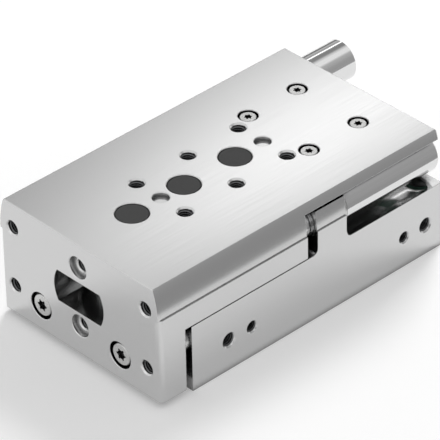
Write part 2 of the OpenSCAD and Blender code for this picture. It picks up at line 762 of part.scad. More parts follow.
// Plastic cap with the half-round turns of both ball circuits, its face against the block at y = 0
module end_cap() {
    difference() {
        translate([0, -end_cap_l, 0])
            carriage_section(end_cap_l, carriage_x - 0.4, carriage_z0 + 0.3, carriage_z1 - 0.4, track_gap);
        for (side = [-1, 1]) translate([side * (track_x + turn_r), 0, track_z]) rotate_extrude()
            translate([turn_r, 0]) circle(r = groove_ball_r, $fn = 32);
        for (x = [-cap_screw_x, cap_screw_x]) translate([x, -end_cap_l - 1, cap_screw_z]) y_cyl(1 + fit, end_cap_l + 2);
    }
}

module carriage_ends() {
    translate([0, block_y0, 0]) children();
    translate([0, block_y0 + block_l, 0]) mirror([0, 1, 0]) children();
}

module carriage_end_caps() {
    color("seagreen") carriage_ends() end_cap();
}

module carriage_end_seals() {
    color("dimgray") carriage_ends() translate([0, -end_cap_l - end_seal_t, 0]) difference() {
        carriage_section(end_seal_t, carriage_x - 0.4, carriage_z0 + 0.3, carriage_z1 - 0.4, 0.1);
        for (x = [-cap_screw_x, cap_screw_x]) translate([x, -1, cap_screw_z]) y_cyl(1 + fit, end_seal_t + 2);
    }
}

module end_cap_screws() {
    color("gray") carriage_ends() for (x = [-cap_screw_x, cap_screw_x])
        translate([x, -end_cap_l - end_seal_t - cap_screw_head_h, cap_screw_z]) rotate([-90, 0, 0])
            socket_screw(1.8, cap_screw_head_h, 1, cap_screw_head_h + end_cap_l + end_seal_t + 3, 1.3);
}

// Point of a ball circuit at distance s: loaded track, rear turn, return bore, front turn
function circuit_point(s) =
    let (half = PI * turn_r)
    s < block_l ? [0, s] :
    s < block_l + half ? let (a = 180 * (s - block_l) / half)
        [turn_r - turn_r * cos(a), block_l + turn_r * sin(a)] :
    s < 2 * block_l + half ? [2 * turn_r, 2 * block_l + half - s] :
    let (a = 180 * (s - 2 * block_l - half) / half) [turn_r + turn_r * cos(a), -turn_r * sin(a)];

module ball_circuit() {
    for (i = [0:balls - 1]) let (p = circuit_point(i * circuit / balls))
        translate([track_x + p[0], block_y0 + p[1], track_z]) sphere(r = ball_r);
}

module guide_balls_right() { color("white") ball_circuit(); }
module guide_balls_left() { color("white") mirror([1, 0, 0]) ball_circuit(); }

module piston_rods() {
    color("silver") both_sides() difference() {
        union() {
            translate([0, yoke_y1, 0]) y_cyl(rod_d / 2, piston_y0 - yoke_y1);
            translate([0, piston_y0, 0]) y_cyl(spigot_r, piston_l - 0.6);
        }
        translate([0, yoke_y1 - 1, 0]) y_cyl(m4_r + fit, 13);
    }
}

module pistons() {
    color("gainsboro") both_sides() translate([0, piston_y0, 0]) difference() {
        y_cyl(piston_r, piston_l);
        translate([0, -1, 0]) y_cyl(spigot_r + fit, piston_l + 2);
        translate([0, piston_l - nut_h - 0.4, 0]) y_cyl(4.9, nut_h + 1);
        for (y = piston_seal_y) translate([0, y, 0]) y_ring(piston_r + 1, piston_r - seal_groove, seal_w);
        translate([0, band_y, 0]) y_ring(piston_r + 1, piston_r - band_groove, band_w);
        translate([0, magnet_y, 0]) y_ring(piston_r + 1, piston_r - magnet_groove, magnet_w);
    }
}

module piston_seals() {
    color("dimgray") both_sides() for (y = piston_seal_y) translate([0, piston_y0 + y + fit, 0])
        y_ring(bore_d / 2 - run_fit, piston_r - seal_groove + fit, seal_w - 2 * fit);
}

module piston_guide_bands() {
    color("saddlebrown") both_sides() translate([0, piston_y0 + band_y + fit, 0])
        y_ring(bore_d / 2 - run_fit, piston_r - band_groove + fit, band_w - 2 * fit);
}

module piston_magnets() {
    color("darkslategray") both_sides() translate([0, piston_y0 + magnet_y + fit, 0])
        y_ring(piston_r, piston_r - magnet_groove + fit, magnet_w - 2 * fit);
}

module piston_nuts() {
    color("silver") both_sides() translate([0, piston_y1 - nut_h - 0.4, 0]) rotate([-90, 0, 0]) difference() {
        cylinder(d = 8 / cos(30), h = nut_h, $fn = 6);
        translate([0, 0, -1]) cylinder(r = spigot_r + fit, h = nut_h + 2);
    }
}

housing();
guide_rail();
rail_screws();
stop_buttons();
rod_bearings();
rod_seals();
bearing_o_rings();
bearing_rings();
rear_caps();
cap_o_rings();
cap_rings();
retract_absorber_tube();
retract_absorber_gland();
retract_absorber_spring();
retract_lock_ring();
retract_plunger();
slide_table();
access_plugs();
table_screws();
rod_screws();
carriage_block();
carriage_end_caps();
carriage_end_seals();
end_cap_screws();
guide_balls_left();
guide_balls_right();
piston_rods();
pistons();
piston_seals();
piston_magnets();
piston_guide_bands();
piston_nuts();
advance_absorber_tube();
advance_absorber_gland();
advance_absorber_spring();
advance_lock_ring();
advance_plunger();
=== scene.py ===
"""Looks of a pneumatic slide table with two shock absorbers.

It holds the finishes, the turns of thread, a stand-in for an absorber's spring, and the floor,
light and camera.
"""
import json
import logging
from dataclasses import dataclass, field
from enum import Enum
from typing import Any, Optional

import bpy
import numpy as np
from mathutils import Matrix, Vector


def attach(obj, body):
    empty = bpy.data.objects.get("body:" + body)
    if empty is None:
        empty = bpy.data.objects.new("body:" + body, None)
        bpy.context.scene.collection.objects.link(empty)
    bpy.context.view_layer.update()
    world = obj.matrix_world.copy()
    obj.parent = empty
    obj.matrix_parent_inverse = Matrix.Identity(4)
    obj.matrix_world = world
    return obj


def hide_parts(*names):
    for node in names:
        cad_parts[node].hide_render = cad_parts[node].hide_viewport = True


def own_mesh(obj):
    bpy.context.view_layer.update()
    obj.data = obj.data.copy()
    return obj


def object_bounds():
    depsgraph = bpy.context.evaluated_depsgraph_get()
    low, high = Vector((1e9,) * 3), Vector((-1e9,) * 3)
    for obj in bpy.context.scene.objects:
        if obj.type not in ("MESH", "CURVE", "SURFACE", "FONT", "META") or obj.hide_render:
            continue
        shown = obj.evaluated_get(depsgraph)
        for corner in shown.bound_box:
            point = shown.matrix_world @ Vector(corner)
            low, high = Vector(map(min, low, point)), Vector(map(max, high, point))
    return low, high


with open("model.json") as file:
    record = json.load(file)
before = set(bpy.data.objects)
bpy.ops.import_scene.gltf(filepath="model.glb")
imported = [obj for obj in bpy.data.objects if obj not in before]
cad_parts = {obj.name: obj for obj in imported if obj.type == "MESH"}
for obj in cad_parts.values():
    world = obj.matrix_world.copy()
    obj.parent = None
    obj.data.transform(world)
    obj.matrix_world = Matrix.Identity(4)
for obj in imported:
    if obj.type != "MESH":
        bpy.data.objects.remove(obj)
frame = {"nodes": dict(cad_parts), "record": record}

MM = 0.001  # one millimetre in metres
WHITE = (1.0, 1.0, 1.0, 1.0)
END_FACE = 0.7  # a normal whose Y is over this belongs to a face square to the length

# The ridge that stands for a turn of thread, in millimetres
LEAD_IN = 0.55  # plain length under the mouth, taken up by the countersink
RUN_OUT = 0.6  # plain length above the end of the thread
CREST = 0.28  # height of the crest on an M5 thread, and in step with the pitch on another
HALF_ROOT = 0.32  # half the width of the root, as a share of the pitch
ROOT_SINK, BACK_SINK = 0.03, 0.06  # how deep the root and the closing point stand in the wall
CAD_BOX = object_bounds()
log = logging.getLogger("slide_table")


class Body(Enum):
    """The rigid bodies that pieces ride on."""

    BASE = "base_unit"
    MOVING = "moving_unit"


class Face(Enum):
    """Outward direction of the face that a hole opens in."""

    TOP = (0.0, 0.0, 1.0)
    BOTTOM = (0.0, 0.0, -1.0)
    FRONT = (0.0, -1.0, 0.0)
    RIGHT = (1.0, 0.0, 0.0)


class Thread(Enum):
    """The threads in use: radius of the core and distance between turns, in millimetres."""

    M5 = (2.1, 0.8)
    M4 = (1.68, 0.7)

    @property
    def core_r(self) -> float:
        """Returns the radius of the drilled core."""
        return self.value[0]

    @property
    def pitch(self) -> float:
        """Returns the distance between turns."""
        return self.value[1]


def linear(hex_colour: str) -> tuple[float, float, float, float]:
    """Turns an sRGB hex colour into linear light.

    Args:
        hex_colour: six hex digits with a leading hash.

    Returns:
        Red, green, blue and alpha, 0 to 1.
    """
    c = np.array([int(hex_colour[i : i + 2], 16) / 255 for i in (1, 3, 5)])
    c = np.where(c <= 0.04045, c / 12.92, ((c + 0.055) / 1.055) ** 2.4)
    return (float(c[0]), float(c[1]), float(c[2]), 1.0)


def add_node(
    tree: bpy.types.NodeTree,
    kind: str,
    settings: Optional[dict[str, Any]] = None,
    inputs: Optional[dict[str, Any]] = None,
) -> bpy.types.Node:
    """Adds a node, sets its properties, and fills or links its sockets.

    Args:
        tree: node tree that gets the node.
        kind: Blender's name of the node type.
        settings: properties of the node by name.
        inputs: socket name to a plain value, or to the output socket that feeds it.

    Returns:
        The new node.
    """
    node = tree.nodes.new(kind)
    for name, value in (settings or {}).items():
        setattr(node, name, value)
    for name, value in (inputs or {}).items():
        socket = next(s for s in node.inputs if s.enabled and s.name == name)
        if isinstance(value, bpy.types.NodeSocket):
            tree.links.new(value, socket)
        else:
            socket.default_value = value
    return node


def output_of(node: bpy.types.Node, name: str) -> bpy.types.NodeSocket:
    """Returns the enabled output socket of that name."""
    return next(s for s in node.outputs if s.enabled and s.name == name)


def empty_material(name: str) -> bpy.types.Material:
    """Makes a material with an empty node tree."""
    material = bpy.data.materials.new(name)
    material.use_nodes = True
    material.node_tree.nodes.clear()
    return material


def new_piece(
    name: str,
    points: np.ndarray,
    faces: list[list[int]],
    material: bpy.types.Material,
) -> bpy.types.Object:
    """Makes an object at the origin, with its place in its mesh.

    Args:
        name: name of the object and its mesh.
        points: points in metres, in rows of 3.
        faces: numbers of each face's corners.
        material: material of the whole piece.

    Returns:
        The new object, in the scene.
    """
    mesh = bpy.data.meshes.new(name)
    mesh.from_pydata(points.tolist(), [], faces)
    mesh.update()
    mesh.materials.append(material)
    piece = bpy.data.objects.new(name, mesh)
    bpy.context.scene.collection.objects.link(piece)
    return piece


def swept_faces(rings: int, sides: int, first: int = 0) -> list[list[int]]:
    """Joins rings of points into a closed tube.

    Side j of ring i is joined to side j + 1 and to ring i + 1, and each end gets one flat face.

    Args:
        rings: number of rings.
        sides: number of points in a ring.
        first: number of the first point.

    Returns:
        The numbers of each face's corners.
    """
    i, j = np.meshgrid(np.arange(rings - 1), np.arange(sides), indexing="ij")
    k = (j + 1) % sides
    quads = np.stack([i * sides + j, i * sides + k, (i + 1) * sides + k, (i + 1) * sides + j], -1)
    last = (rings - 1) * sides
    ends = np.array([np.arange(sides)[::-1], np.arange(last, last + sides)])
    return (quads.reshape(-1, 4) + first).tolist() + (ends + first).tolist()


@dataclass(frozen=True)
class Finish:
    """A surface finish: a shader whose roughness and height vary with a pattern of real size,
    and whose colour is darkened as painted shade in holes, gaps and near the floor.

    Attributes:
        name: plain name of the finish.
        colour: sRGB hex colour.
        metallic: 1 for bare metal, 0 for plastics and rubber.
        roughness: middle of the roughness range.
        spread: how far roughness moves either way with the pattern.
        across_mm: spacing of the marks.
        along_mm: length of the marks; equal to across_mm for an even grain.
        height_mm: depth of the marks.
        edge_mm: radius at which light catches an edge.
        painted_shade_colour: sRGB hex colour painted in as shade deep in holes and gaps and near
            the floor.
        painted_shade_reach_mm: reach within which a nearby wall or the floor darkens the colour as
            painted shade.
    """

    name: str
    colour: str
    metallic: float
    roughness: float
    spread: float
    across_mm: float
    along_mm: float
    height_mm: float
    edge_mm: float
    painted_shade_colour: str
    painted_shade_reach_mm: float = 4.0

    def pattern(self, tree: bpy.types.NodeTree) -> bpy.types.NodeSocket:
        """Adds the marks: noise drawn out along the length, or along the width on end faces.

        Args:
            tree: node tree of the material.

        Returns:
            The pattern's value, 0 to 1.
        """
        place = add_node(tree, "ShaderNodeTexCoord")
        fine, long = 1 / (self.across_mm * MM), 1 / (self.along_mm * MM)
        lengthwise = add_node(tree, "ShaderNodeMapping", inputs={
            "Vector": output_of(place, "Object"), "Scale": (fine, long, fine)})
        crosswise = add_node(tree, "ShaderNodeMapping", inputs={
            "Vector": output_of(place, "Object"), "Scale": (long, fine, fine)})
        facing = add_node(tree, "ShaderNodeSeparateXYZ", inputs={
            "Vector": output_of(place, "Normal")})
        lengthways = add_node(tree, "ShaderNodeMath", {"operation": "ABSOLUTE"}, {
            "Value": output_of(facing, "Y")})
        is_end = add_node(tree, "ShaderNodeMath", {"operation": "GREATER_THAN"}, {
            "Value": lengthways.outputs[0]})
        is_end.inputs[1].default_value = END_FACE
        chosen = add_node(tree, "ShaderNodeMix", {"data_type": "VECTOR"}, {
            "Factor": is_end.outputs[0],
            "A": lengthwise.outputs[0],
            "B": crosswise.outputs[0]})
        noise = add_node(tree, "ShaderNodeTexNoise", inputs={
            "Vector": output_of(chosen, "Result"), "Scale": 1.0, "Detail": 3.0, "Roughness": 0.55})
        return noise.outputs[0]

    def build(self) -> bpy.types.Material:
        """Makes the material.

        Returns:
            The finished material.
        """
        material = empty_material(self.name)
        tree = material.node_tree
        marks = self.pattern(tree)
        gloss = add_node(tree, "ShaderNodeMapRange", inputs={
            "Value": marks, "From Min": 0.25, "From Max": 0.75,
            "To Min": self.roughness - self.spread, "To Max": self.roughness + self.spread})
        edge = add_node(tree, "ShaderNodeBevel", {"samples": 4}, {"Radius": self.edge_mm * MM})
        relief = add_node(tree, "ShaderNodeBump", inputs={
            "Strength": 1.0, "Distance": self.height_mm * MM,
            "Height": marks, "Normal": edge.outputs[0]})
        # painted shade: ambient occlusion blends the colour to the finish's dark shade colour in
        # holes, gaps and near the floor
        open_sky = add_node(tree, "ShaderNodeAmbientOcclusion", {"samples": 6}, {
            "Distance": self.painted_shade_reach_mm * MM})
        shut = add_node(tree, "ShaderNodeMapRange", {"interpolation_type": "SMOOTHSTEP"}, {
            "Value": output_of(open_sky, "AO"), "From Min": 0.25, "From Max": 0.8})
        painted_shade_mix = add_node(tree, "ShaderNodeMix", {"data_type": "RGBA"}, {
            "Factor": shut.outputs[0],
            "A": linear(self.painted_shade_colour),
            "B": linear(self.colour)})
        shader = add_node(tree, "ShaderNodeBsdfPrincipled", inputs={
            "Base Color": output_of(painted_shade_mix, "Result"), "Metallic": self.metallic,
            "Roughness": gloss.outputs[0], "Normal": relief.outputs[0]})
        add_node(tree, "ShaderNodeOutputMaterial", inputs={"Surface": shader.outputs[0]})
        return material


# Marks finer than about 0.3 mm can't show at this size, so each lay is drawn at 0.35 mm or more.
# The last colour of each finish is painted shade, which the occlusion puts in holes, gaps and near
# the floor.
FINISHES: dict[str, Finish] = {
    # finely ground and clear anodised aluminium: satin, soft streaks along the lay, light edges
    "aluminium_satin": Finish(
        "finely_ground_aluminium", "#CDCDCD", metallic=1.0, roughness=0.19, spread=0.015,
        across_mm=0.4, along_mm=30.0, height_mm=0.0004, edge_mm=0.25, painted_shade_colour="#1D1D1E"),
    # thread cut in the aluminium: a darker colour as painted shade, so that the tapped holes look
    # dark, with a thin light on each crest
    "cut_thread": Finish(
        "cut_aluminium_thread", "#6E6F70", metallic=1.0, roughness=0.26, spread=0.03,
        across_mm=0.4, along_mm=2.0, height_mm=0.0008, edge_mm=0.08, painted_shade_colour="#101011"),
    # ground bearing steel: brighter and tighter than the aluminium, with a slight warm grey
    "rail_steel": Finish(
        "ground_bearing_steel", "#C3C4C4", metallic=1.0, roughness=0.24, spread=0.04,
        across_mm=0.35, along_mm=20.0, height_mm=0.0008, edge_mm=0.15, painted_shade_colour="#39393A"),
    # turned and zinc plated screw steel: bright, small uneven glints
    "screw_steel": Finish(
        "plated_screw_steel", "#C9C9C8", metallic=1.0, roughness=0.26, spread=0.06,
        across_mm=0.5, along_mm=0.5, height_mm=0.002, edge_mm=0.12, painted_shade_colour="#6A6A6B"),
    # blackened steel: dark with a dull shine
    "dark_steel": Finish(
        "blackened_screw_steel", "#4A4A4B", metallic=1.0, roughness=0.38, spread=0.06,
        across_mm=0.5, along_mm=0.5, height_mm=0.002, edge_mm=0.12, painted_shade_colour="#151515"),
    # polished hard chrome: near mirror with the faintest grinding lines
    "hard_chrome": Finish(
        "polished_hard_chrome", "#DDDDDD", metallic=1.0, roughness=0.09, spread=0.02,
        across_mm=0.35, along_mm=0.9, height_mm=0.0003, edge_mm=0.12, painted_shade_colour="#5A5A5C"),
    # turned tin bronze: warm, with fine tool marks
    "bearing_bronze": Finish(
        "turned_tin_bronze", "#B79A6B", metallic=1.0, roughness=0.33, spread=0.05,
        across_mm=0.4, along_mm=3.0, height_mm=0.0015, edge_mm=0.1, painted_shade_colour="#4A3A22"),
    # moulded nitrile rubber: near black, no shine
    "black_rubber": Finish(
        "moulded_nitrile_rubber", "#1C1C1C", metallic=0.0, roughness=0.62, spread=0.08,
        across_mm=0.4, along_mm=0.4, height_mm=0.004, edge_mm=0.1, painted_shade_colour="#0C0C0C"),
    # moulded glass filled nylon: dark grey, faintly mottled
    "plug_plastic": Finish(
        "moulded_nylon", "#343434", metallic=0.0, roughness=0.5, spread=0.06,
        across_mm=0.4, along_mm=0.4, height_mm=0.004, edge_mm=0.15, painted_shade_colour="#1E1E1F"),
    # moulded green acetal of a guide carriage's end caps
    "cap_plastic": Finish(
        "moulded_acetal", "#265C49", metallic=0.0, roughness=0.4, spread=0.05,
        across_mm=0.5, along_mm=0.5, height_mm=0.003, edge_mm=0.15, painted_shade_colour="#12291F"),
    # machined brown filled fluoroplastic guide band
    "band_plastic": Finish(
        "machined_fluoroplastic", "#6A4A31", metallic=0.0, roughness=0.55, spread=0.05,
        across_mm=0.4, along_mm=4.0, height_mm=0.003, edge_mm=0.1, painted_shade_colour="#33241A"),
    # sintered magnet: dark, gritty and dull
    "magnet": Finish(
        "sintered_magnet", "#474748", metallic=0.6, roughness=0.55, spread=0.08,
        across_mm=0.4, along_mm=0.4, height_mm=0.006, edge_mm=0.1, painted_shade_colour="#1D1D1E"),
}


@dataclass
class Workshop:
    """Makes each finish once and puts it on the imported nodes."""

    made: dict[str, bpy.types.Material] = field(default_factory=dict)

    def finish(self, slot: str) -> bpy.types.Material:
        """Returns the material of a slot, made on first use."""
        if slot not in self.made:
            self.made[slot] = FINISHES[slot].build()
        return self.made[slot]

    def dress_nodes(self) -> int:
        """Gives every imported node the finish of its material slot.

        Returns:
            Number of nodes dressed.
        """
        slots = {part["node"]: part["material_slot"] for part in frame["record"]["subparts"]}
        for name, node in frame["nodes"].items():
            node.data.materials.clear()
            node.data.materials.append(self.finish(slots[name]))
            log.info("dressed %s in %s", name, slots[name])
        return len(frame["nodes"])


@dataclass(frozen=True)
class TappedHole:
    """A tapped hole, in millimetres.

    Attributes:
        mouth: centre of the mouth, on the face.
        face: face that the hole opens in.
        thread: size of the thread.
        depth: length of thread below the face.
    """

    mouth: tuple[float, float, float]
    face: Face
    thread: Thread
    depth: float


def helix_ridge(hole: TappedHole, around: int = 40) -> np.ndarray:
    """Sweeps a ridge of triangular section along a helix inside a hole.

    The helix is p(t) = mouth - axis * (lead in + pitch * t / turn) + radius * (u cos t + v sin t).
    The section's root is sunk a little in the wall and its crest stands inwards. The crest rises
    and fades over a quarter turn at each end.

    Args:
        hole: the hole to fill.
        around: steps in one turn.

    Returns:
        Points in metres, rings by 4 by 3: upper root, crest, lower root, and a point in the wall.
    """
    pitch = hole.thread.pitch
    axis = np.array(hole.face.value)
    u = np.array([axis[1], axis[2], axis[0]])
    v = np.cross(u, axis)  # turns clockwise going in, as a right-hand thread does
    turns = (hole.depth - LEAD_IN - RUN_OUT) / pitch
    t = np.linspace(0, 2 * np.pi * turns, int(around * turns) + 1)
    fade = np.clip(np.minimum(t, t[-1] - t) / (0.5 * np.pi), 0, 1)
    crest = CREST * pitch / Thread.M5.pitch
    radial = np.stack([ROOT_SINK + 0 * t, -crest * fade, ROOT_SINK + 0 * t, BACK_SINK + 0 * t], 1)
    along = np.array([-HALF_ROOT, 0.0, HALF_ROOT, 0.0]) * pitch
    radius = hole.thread.core_r + radial
    down = LEAD_IN + pitch * t[:, None] / (2 * np.pi) + along[None, :]
    ring = np.cos(t)[:, None, None] * u + np.sin(t)[:, None, None] * v
    return (np.array(hole.mouth) - down[..., None] * axis + radius[..., None] * ring) * MM


@dataclass
class ThreadTurns:
    """The turns of thread in the tapped holes of one piece of metal."""

    name: str
    body: Body
    slot: str
    holes: list[TappedHole]

    def build(self, workshop: Workshop) -> bpy.types.Object:
        """Makes all turns as one object that rides with its piece.

        Args:
            workshop: source of the finish.

        Returns:
            The new object.
        """
        ridges, faces, count = [], [], 0
        for hole in self.holes:
            ridge = helix_ridge(hole)
            rings, sides = ridge.shape[:2]
            ridges.append(ridge.reshape(-1, 3))
            faces += swept_faces(rings, sides, count)
            count += rings * sides
        piece = new_piece(self.name, np.vstack(ridges), faces, workshop.finish("cut_thread"))
        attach(piece, self.body.value)
        log.info("%s: %d holes, %d faces", self.name, len(self.holes), len(faces))
        return piece


@dataclass
class AbsorberSpring:
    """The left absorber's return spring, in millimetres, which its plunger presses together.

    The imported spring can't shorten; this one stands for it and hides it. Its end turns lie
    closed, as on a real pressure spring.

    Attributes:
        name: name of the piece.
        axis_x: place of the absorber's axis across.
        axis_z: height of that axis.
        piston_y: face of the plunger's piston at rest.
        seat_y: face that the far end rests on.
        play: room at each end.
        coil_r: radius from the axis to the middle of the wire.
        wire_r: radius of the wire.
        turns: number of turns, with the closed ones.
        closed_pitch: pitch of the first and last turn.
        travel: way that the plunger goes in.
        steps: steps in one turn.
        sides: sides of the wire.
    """

    name: str = "advance_spring_coil"
    axis_x: float = -25.6
    axis_z: float = 30.0
    piston_y: float = 30.9
    seat_y: float = 52.15
    play: float = 0.05
    coil_r: float = 2.9
    wire_r: float = 0.35
    turns: int = 10
    # travel: way that the plunger goes in; not used.
    closed_pitch: float = 0.76
    travel: float = 10.0
    steps: int = 36
    sides: int = 12

    def points(self) -> np.ndarray:
        """Works out the wire's surface.

        With turn angle a and wire angle b, the radius from the axis is coil_r + wire_r cos b, the
        place along the axis is y(a) + wire_r sin b, and y(a) rises slowly in the first and last
        turn.

        Returns:
            Points in metres, rings by sides by 3.
        """
        rise = self.seat_y - self.piston_y - 2 * (self.wire_r + self.play)
        turn = np.linspace(0, self.turns, self.turns * self.steps + 1)[:, None]
        y = np.interp(turn, (0, 1, self.turns - 1, self.turns),
                      (0, self.closed_pitch, rise - self.closed_pitch, rise))
        b = np.linspace(0, 2 * np.pi, self.sides, endpoint=False)[None, :]
        a = 2 * np.pi * turn
        radius = self.coil_r + self.wire_r * np.cos(b)
        along = self.piston_y + self.play + self.wire_r + y + self.wire_r * np.sin(b)
        x, z = self.axis_x + radius * np.cos(a), self.axis_z + radius * np.sin(a)
        return np.stack([x, along, z], -1) * MM

    def build(self, workshop: Workshop) -> bpy.types.Object:
        """Makes the spring, which rides with the moving body, and hides the imported one.

        Args:
            workshop: source of the finish.

        Returns:
            The new object.
        """
        points = self.points()
        faces = swept_faces(*points.shape[:2])
        piece = new_piece(self.name, points.reshape(-1, 3), faces, workshop.finish("screw_steel"))
        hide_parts("advance_absorber_spring")
        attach(piece, Body.MOVING.value)
        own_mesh(piece)
        log.info("%s: %d faces", self.name, len(faces))
        return piece


@dataclass
class SlideTable:
    """The slide with its yoke, in millimetres: threads in the top face and in the yoke plate.

    Attributes:
        rows_y: places of the three rows of threads in the top face.
        row_x: how far the threads of a row stand from the middle.
        top_z: height of the top face.
        front_y: front face of the yoke plate.
        yoke_x: how far the yoke plate's corner threads stand from the middle.
        yoke_z: heights of the lower and the upper threads in the yoke plate.
        centring_depth: depth of the sleeve holes round the yoke plate's middle threads.
        top_depth: length of the threads in the top face.
        yoke_depth: length of the corner threads.
        centre_depth: length of the middle threads.
    """

    rows_y: tuple[float, ...] = (-30.1, -10.1, 9.9)
    row_x: float = 10.0
    top_z: float = 40.0
    front_y: float = -62.1
    yoke_x: float = 27.5
    yoke_z: tuple[float, float] = (11.7, 31.7)
    centring_depth: float = 1.6
    top_depth: float = 6.7
    yoke_depth: float = 8.0
    centre_depth: float = 6.0

    def holes(self) -> list[TappedHole]:
        """Returns every tapped hole of the slide."""
        top = [TappedHole((sx * self.row_x, y, self.top_z), Face.TOP, Thread.M5, self.top_depth)
               for y in self.rows_y for sx in (-1, 1)]
        corners = [TappedHole((sx * self.yoke_x, self.front_y, z), Face.FRONT, Thread.M5,
                              self.yoke_depth)
                   for z in self.yoke_z for sx in (-1, 1)]
        centre = [TappedHole((0.0, self.front_y + self.centring_depth, z), Face.FRONT, Thread.M4,
                             self.centre_depth)
                  for z in self.yoke_z]
        return top + corners + centre

    def build(self, workshop: Workshop) -> None:
        """Makes the slide's thread turns."""
        turns = ThreadTurns("slide_thread_turns", Body.MOVING, "aluminium_satin", self.holes())
        turns.build(workshop)


@dataclass
class Housing:
    """The cylinder housing, in millimetres: threads below, ports and threads on its right side.

    Attributes:
        base_x: how far the mounting threads stand from the middle across.
        base_y: how far they stand from the middle along.
        side_x: right side of the housing.
        side_z: height of the holes in it.
        ports_y: places of the two ports.
        bracket_y: places of the two bracket threads.
        base_depth: length of the mounting threads.
        port_depth: length of the ports' threads.
        bracket_depth: length of the bracket threads.
    """

    base_x: float = 27.5
    base_y: float = 20.0
    side_x: float = 33.0
    side_z: float = 10.2
    ports_y: tuple[float, float] = (-35.7, 43.4)
    bracket_y: tuple[float, float] = (-26.8, 34.5)
    base_depth: float = 7.0
    port_depth: float = 6.5
    bracket_depth: float = 6.0

    def holes(self) -> list[TappedHole]:
        """Returns every tapped hole of the housing."""
        base = [TappedHole((sx * self.base_x, sy * self.base_y, 0.0), Face.BOTTOM, Thread.M5,
                           self.base_depth)
                for sx in (-1, 1) for sy in (-1, 1)]
        ports = [TappedHole((self.side_x, y, self.side_z), Face.RIGHT, Thread.M5, self.port_depth)
                 for y in self.ports_y]
        bracket = [TappedHole((self.side_x, y, self.side_z), Face.RIGHT, Thread.M4,
                              self.bracket_depth)
                   for y in self.bracket_y]
        return base + ports + bracket

    def build(self, workshop: Workshop) -> None:
        """Makes the housing's thread turns."""
        turns = ThreadTurns("housing_thread_turns", Body.BASE, "aluminium_satin", self.holes())
        turns.build(workshop)


Profile = tuple[tuple[float, float], ...]
FLAT: Profile = ((0.0, 1.0), (1.0, 1.0))
SOFT_EDGES: Profile = (
    (0.0, 0.0), (0.12, 0.5), (0.24, 1.0), (0.76, 1.0), (0.88, 0.5), (1.0, 0.0))
# the pale band over the top face: it rises from the left, falls quickly on its right, and fades
# towards both ends
BAND_ACROSS: Profile = (
    (0.0, 0.0), (0.43, 0.04), (0.465, 0.19), (0.5, 0.66), (0.528, 1.0), (0.54, 0.9),
    (0.551, 0.15), (0.565, 0.0), (1.0, 0.0))
BAND_ALONG: Profile = (
    (0.0, 0.0), (0.3, 0.12), (0.35, 0.24), (0.4105, 0.47), (0.455, 0.71), (0.5, 0.93), (0.53, 1.0),
    (0.575, 0.97), (0.65, 0.6), (0.75, 0.0), (1.0, 0.0))


@dataclass(frozen=True)
class Card:
    """A card beside the set, in metres, that only shiny things show: a bright or a grey panel.

    Attributes:
        name: name of the card.
        centre: middle of the card.
        across: direction of its width.
        along: direction of its height.
        width: side across.
        height: side along.
        base: level of the whole card, where 1 is the white of the background.
        glow: level added where both glow profiles are 1.
        glow_across: points of the glow across, from 0 to 1 each way.
        glow_along: points of the glow along.
        cover_across: how solid the card is across, so that its edges fade.
        cover_along: how solid it is along.
    """

    name: str
    centre: tuple[float, float, float]
    across: tuple[float, float, float]
    along: tuple[float, float, float]
    width: float
    height: float
    base: float
    glow: float = 0.0
    glow_across: Profile = FLAT
    glow_along: Profile = FLAT
    cover_across: Profile = SOFT_EDGES
    cover_along: Profile = SOFT_EDGES

    def product(
        self, tree: bpy.types.NodeTree, across: Profile, along: Profile
    ) -> bpy.types.NodeSocket:
        """Adds the product of two curves, one over each side of the card.

        Args:
            tree: node tree of the card.
            across: points of the curve across.
            along: points of the curve along.

        Returns:
            The product, 0 to 1.
        """
        place = add_node(tree, "ShaderNodeTexCoord")
        sides = add_node(tree, "ShaderNodeSeparateXYZ", inputs={"Vector": output_of(place, "UV")})
        both = add_node(tree, "ShaderNodeMath", {"operation": "MULTIPLY"})
        for index, (side, profile) in enumerate((("X", across), ("Y", along))):
            curve = add_node(tree, "ShaderNodeFloatCurve", inputs={
                "Value": output_of(sides, side)})
            points = curve.mapping.curves[0].points
            points[0].location, points[1].location = profile[0], profile[-1]
            for x, y in profile[1:-1]:
                points.new(x, y)
            curve.mapping.update()
            tree.links.new(curve.outputs[0], both.inputs[index])
        return both.outputs[0]

    def material(self) -> bpy.types.Material:
        """Makes the card's surface: base plus glow, clear where the cover fades out.

        Returns:
            The material.
        """
        material = empty_material(self.name + "_face")
        tree = material.node_tree
        level = add_node(tree, "ShaderNodeMath", {"operation": "MULTIPLY_ADD"}, {
            "Value": self.product(tree, self.glow_across, self.glow_along)})
        level.inputs[1].default_value = self.glow
        level.inputs[2].default_value = self.base
        face = add_node(tree, "ShaderNodeEmission", inputs={"Strength": level.outputs[0]})
        clear = add_node(tree, "ShaderNodeBsdfTransparent")
        mix = add_node(tree, "ShaderNodeMixShader", inputs={
            "Fac": self.product(tree, self.cover_across, self.cover_along)})
        tree.links.new(clear.outputs[0], mix.inputs[1])
        tree.links.new(face.outputs[0], mix.inputs[2])
        add_node(tree, "ShaderNodeOutputMaterial", inputs={"Surface": mix.outputs[0]})
        return material

    def build(self) -> bpy.types.Object:
        """Makes the card.

        Returns:
            The card, which the camera, diffuse light and shadows don't see.
        """
        right = Vector(self.across).normalized() * self.width / 2
        up = Vector(self.along).normalized() * self.height / 2
        mid = Vector(self.centre)
        corners = [mid - right - up, mid + right - up, mid + right + up, mid - right + up]
        card = new_piece(self.name, np.array(corners), [[0, 1, 2, 3]], self.material())
        card.data.uv_layers.new(name="UVMap").data.foreach_set("uv", (0, 0, 1, 0, 1, 1, 0, 1))
        card.visible_camera = card.visible_diffuse = card.visible_shadow = False
        return card


